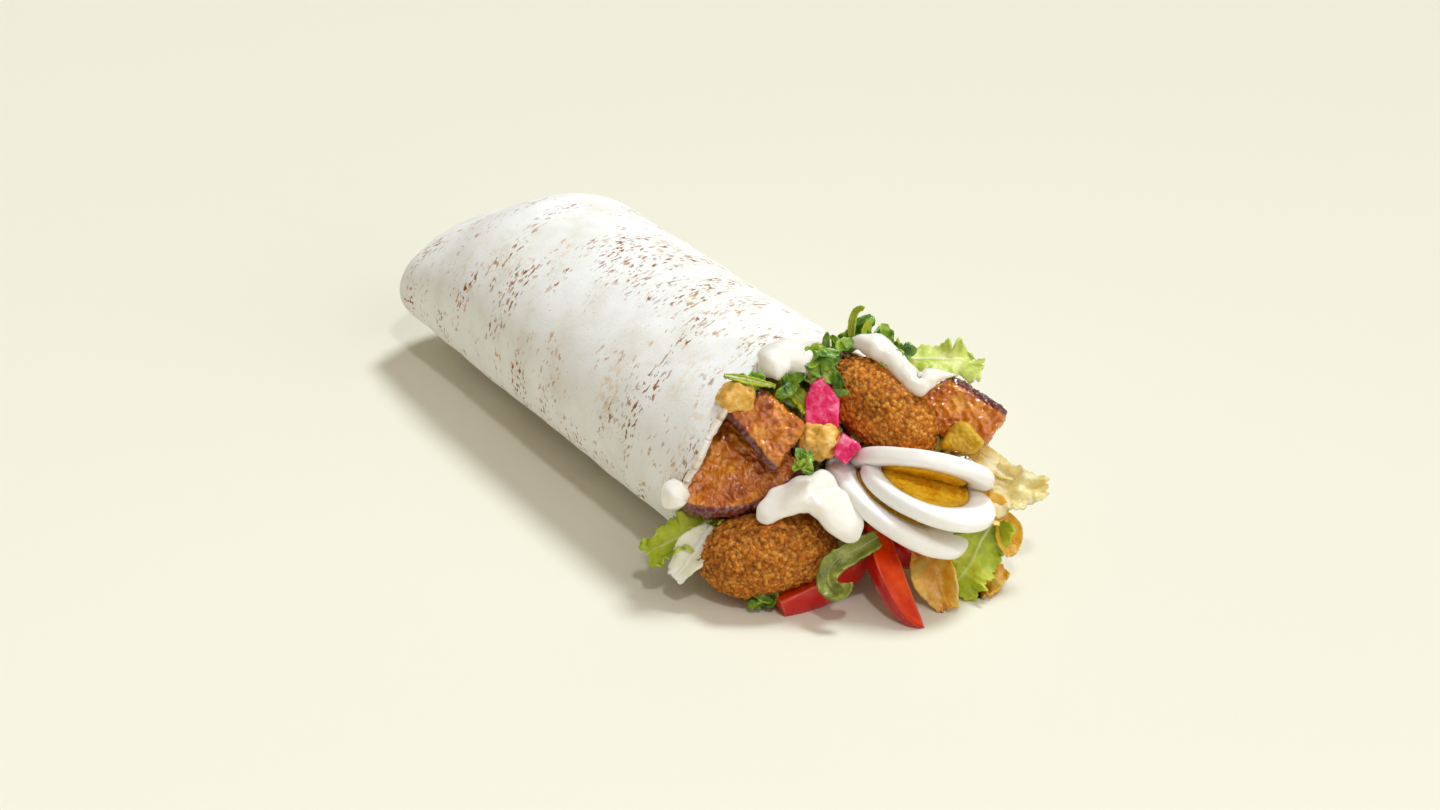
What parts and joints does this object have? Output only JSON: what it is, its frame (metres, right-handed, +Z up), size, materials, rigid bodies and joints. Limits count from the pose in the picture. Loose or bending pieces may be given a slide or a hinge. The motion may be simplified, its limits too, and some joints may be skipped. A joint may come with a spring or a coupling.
{
  "type": "filled flatbread wrap",
  "caption": "A rolled flatbread, tucked shut at one end, with fried chickpea balls, aubergine, egg slices, tomato, salad and sauce heaped out of its open end.",
  "frame": {"origin": "centre of the bounding box at the level it rests on", "axes": "+X runs from the tucked tail to the filled mouth, +Y is to the left looking that way, +Z is up"},
  "size_m": [0.2088, 0.0922, 0.0612],
  "materials": {
    "bread": "dry, floury, toasted in fine specks",
    "filling": "shredded salad, moist",
    "falafel": "deep-fried crumb, rough",
    "aubergine": "fried, oily, with dark skin on one edge",
    "turnip": "pickled, wet",
    "cauliflower": "fried, lightly browned",
    "pickle": "wet, waxy skin",
    "egg_white": "firm, satin",
    "egg_yolk": "dry, crumbly",
    "tomato": "taut skin, wet flesh",
    "lettuce": "crisp, thin",
    "cabbage": "pale, crisp",
    "onion": "fried, translucent",
    "sauce": "thick, glossy, off-white"
  },
  "bodies": {
    "root": {"flatbread": "bread", "filling_core": "filling", "falafel_low": "falafel", "falafel_top": "falafel", "aubergine_wedge": "aubergine", "aubergine_cube": "aubergine", "aubergine_corner": "aubergine", "turnip_stick": "turnip", "turnip_cube": "turnip", "cauliflower_floret": "cauliflower", "cauliflower_stalk": "cauliflower", "pickle_wedge": "pickle", "egg_white_a": "egg_white", "egg_white_b": "egg_white", "egg_white_c": "egg_white", "egg_yolk_a": "egg_yolk", "egg_yolk_b": "egg_yolk", "egg_yolk_c": "egg_yolk", "tomato_left": "tomato", "tomato_centre": "tomato", "tomato_right": "tomato", "lettuce_left": "lettuce", "lettuce_curl": "lettuce", "lettuce_right": "lettuce", "lettuce_top": "lettuce", "lettuce_strip": "lettuce", "cabbage_left": "cabbage", "onion_petal_right": "onion", "onion_petal_edge": "onion", "onion_petal_low": "onion", "onion_petal_floor": "onion", "sauce_shoulder": "sauce", "sauce_ribbon": "sauce", "sauce_spill": "sauce", "sauce_dab": "sauce"}
  },
  "joints": []
}
